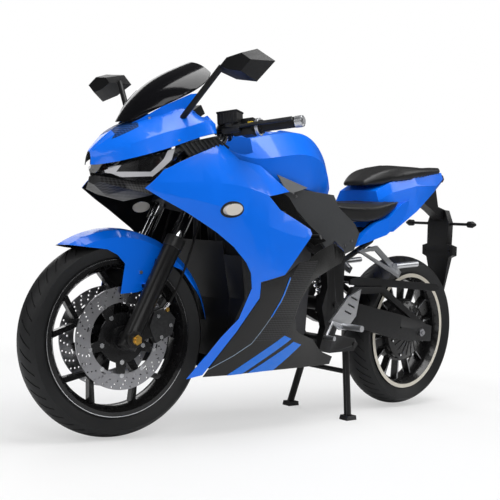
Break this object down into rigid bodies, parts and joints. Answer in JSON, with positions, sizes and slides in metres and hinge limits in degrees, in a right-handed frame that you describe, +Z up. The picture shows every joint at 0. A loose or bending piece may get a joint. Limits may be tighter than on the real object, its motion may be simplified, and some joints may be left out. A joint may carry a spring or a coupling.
{
  "type": "electric sport motorcycle",
  "caption": "Fully faired electric sport motorcycle with a hub motor in the rear wheel, clip-on bars, stepped seats and a centre stand.",
  "frame": {"origin": "on the ground, half way between the two wheel contacts, in the middle plane", "axes": "+X forward, +Y to the rider's left, +Z up"},
  "size_m": [1.9758, 0.886, 1.146],
  "materials": {
    "blue_paint": "clear-coated azure blue",
    "dark_panel": "dark grey satin",
    "black_plastic": "black, fine grain",
    "screen_tint": "black tinted, glossy",
    "lamp_glass": "smoked clear",
    "signal_glass": "clear",
    "rear_lamp": "dark red",
    "seat_cover": "black grained vinyl",
    "frame_black": "black satin",
    "battery_case": "dark grey",
    "wheel_black": "black gloss",
    "alloy": "satin",
    "fork_chrome": "polished",
    "steel": "brushed",
    "caliper": "black",
    "grip_rubber": "ribbed",
    "tyre_rubber": "matt",
    "mirror_silver": "silvered"
  },
  "bodies": {
    "chassis": {"nose_cowl": "blue_paint", "side_fairing_left": "blue_paint", "side_fairing_right": "blue_paint", "tank": "blue_paint", "tail_cowl": "blue_paint", "lower_fairing_left": "dark_panel", "lower_fairing_right": "dark_panel", "frame_covers": "dark_panel", "belly_pan": "dark_panel", "headlight_surround": "black_plastic", "plate_holder": "black_plastic", "rear_hugger": "black_plastic", "front_liner": "black_plastic", "dash": "black_plastic", "mirrors": "black_plastic", "windscreen": "screen_tint", "headlights": "lamp_glass", "rear_signals": "signal_glass", "side_signals": "signal_glass", "tail_light": "rear_lamp", "rider_seat": "seat_cover", "passenger_seat": "seat_cover", "frame": "frame_black", "subframe": "frame_black", "swingarm": "frame_black", "fairing_stay": "frame_black", "rear_shock": "frame_black", "battery_block": "battery_case", "rider_footrests": "alloy", "passenger_rests": "alloy", "rear_axle": "steel", "mirror_glass": "mirror_silver"},
    "steering": {"fork_legs": "frame_black", "fork_tubes": "fork_chrome", "triple_clamps": "frame_black", "clip_ons": "alloy", "grips": "grip_rubber", "bar_controls": "black_plastic", "front_axle": "steel", "front_fender": "blue_paint", "brake_calipers": "caliper"},
    "front_wheel": {"front_tyre": "tyre_rubber", "front_rim": "wheel_black", "front_discs": "steel"},
    "rear_wheel": {"rear_tyre": "tyre_rubber", "rear_rim": "wheel_black", "hub_motor": "wheel_black"},
    "centre_stand": {"centre_stand": "frame_black"},
    "charge_lid": {"charge_lid": "alloy"}
  },
  "joints": [
    {"name": "steering", "type": "hinge", "parent": "chassis", "child": "steering", "pos_m": [0.65856, 0, 0.27694], "axis": [-0.4226, 0, 0.9063], "range_deg": [-15, 31]},
    {"name": "front_wheel_spin", "type": "hinge", "parent": "steering", "child": "front_wheel", "pos_m": [0.69266, -0.00529, 0.29284], "axis": [0.1261, 0.9903, 0.0588], "continuous": true},
    {"name": "rear_wheel_spin", "type": "hinge", "parent": "chassis", "child": "rear_wheel", "pos_m": [-0.693, 0, 0.305], "axis": [0, 1, 0], "continuous": true},
    {"name": "centre_stand_fold", "type": "hinge", "parent": "chassis", "child": "centre_stand", "pos_m": [-0.262, 0, 0.268], "axis": [0, 1, 0], "range_deg": [0, 80]},
    {"name": "charge_lid_open", "type": "hinge", "parent": "chassis", "child": "charge_lid", "pos_m": [0.172, 0, 0.9835], "axis": [0, 1, 0], "range_deg": [0, 95]}
  ]
}
